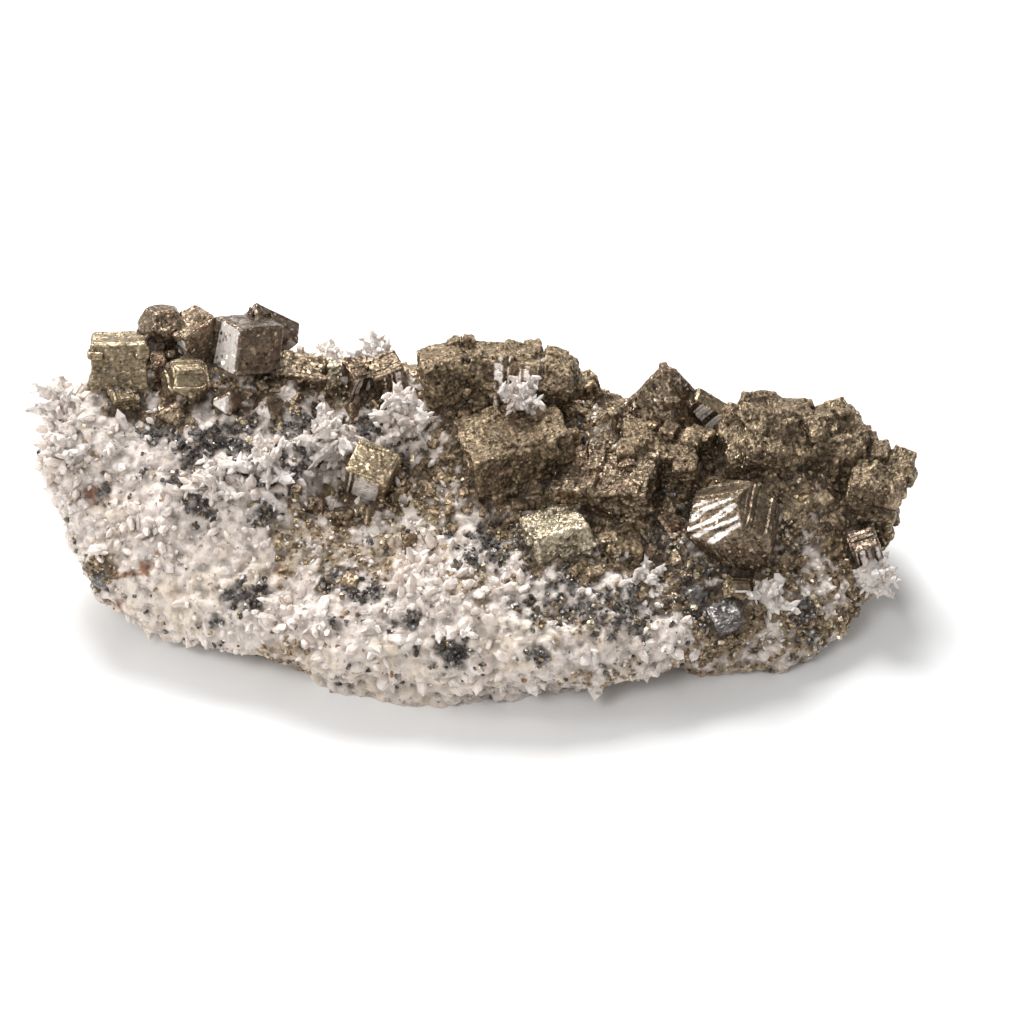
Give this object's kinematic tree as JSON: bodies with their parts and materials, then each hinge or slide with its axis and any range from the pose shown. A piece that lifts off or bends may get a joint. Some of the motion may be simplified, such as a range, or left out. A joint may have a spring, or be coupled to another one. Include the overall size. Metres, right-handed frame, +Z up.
{
  "type": "pyrite specimen",
  "caption": "Elongated hand specimen of pyrite crystals on a quartz and sulphide matrix, with sprays of small quartz, resting on a flat seat.",
  "frame": {"origin": "middle of the bounding box, on the seat plane that the specimen rests on", "axes": "+X along the specimen's length, +Z up from the seat, low front edge towards -Y and the crystal crest towards +Y"},
  "size_m": [0.1183, 0.0524, 0.0356],
  "materials": {
    "matrix_rock": "sugary quartz over grey-beige rock with dull metallic grains",
    "pyrite": "dull brown-gold metallic crystal faces, striated, with bright glints",
    "quartz": "translucent milky grey-white crystals",
    "sphalerite": "dark grey submetallic, glittering"
  },
  "bodies": {
    "root": {"matrix": "matrix_rock", "pyrite_back_left": "pyrite", "pyrite_back_middle": "pyrite", "pyrite_back_right": "pyrite", "pyrite_back_saddle": "pyrite", "pyrite_bright_block": "pyrite", "pyrite_chip_left_end": "pyrite", "pyrite_column": "pyrite", "pyrite_crown_block": "pyrite", "pyrite_crown_left_lobe": "pyrite", "pyrite_crown_right_lobe": "pyrite", "pyrite_cube_left_end": "pyrite", "pyrite_cube_saddle_a": "pyrite", "pyrite_cube_saddle_b": "pyrite", "pyrite_cube_small_middle": "pyrite", "pyrite_dodecahedron_foot": "pyrite", "pyrite_dodecahedron_left": "pyrite", "pyrite_dome": "pyrite", "pyrite_gilt_chip": "pyrite", "pyrite_grain_between_cubes": "pyrite", "pyrite_grain_saddle": "pyrite", "pyrite_granular_cube": "pyrite", "pyrite_great_cube": "pyrite", "pyrite_hollow_cube_a": "pyrite", "pyrite_hollow_cube_b": "pyrite", "pyrite_long_block": "pyrite", "pyrite_orange_foot": "pyrite", "pyrite_peak": "pyrite", "pyrite_peak_blade": "pyrite", "pyrite_ridge_block": "pyrite", "pyrite_ridge_shoulder": "pyrite", "pyrite_right_end": "pyrite", "pyrite_shoulder_block": "pyrite", "pyrite_slab_dark": "pyrite", "pyrite_striated_dodecahedron": "pyrite", "pyrite_striped_cube": "pyrite", "pyrite_tilted_bar": "pyrite", "pyrite_triangle_left": "pyrite", "pyrite_triangle_right": "pyrite", "pyrite_wedge_left": "pyrite", "quartz_back": "quartz", "quartz_blades_front": "quartz", "quartz_blades_left": "quartz", "quartz_foot_spray": "quartz", "quartz_hollow_spray": "quartz", "quartz_left_end": "quartz", "quartz_left_shoulder": "quartz", "quartz_middle_spray": "quartz", "quartz_on_crown": "quartz", "quartz_right_rim": "quartz", "quartz_saddle": "quartz", "quartz_slope_spray": "quartz", "sphalerite_front": "sphalerite", "sphalerite_grey_cube": "sphalerite", "sphalerite_left_rim": "sphalerite", "sphalerite_ridged": "sphalerite"}
  },
  "joints": []
}
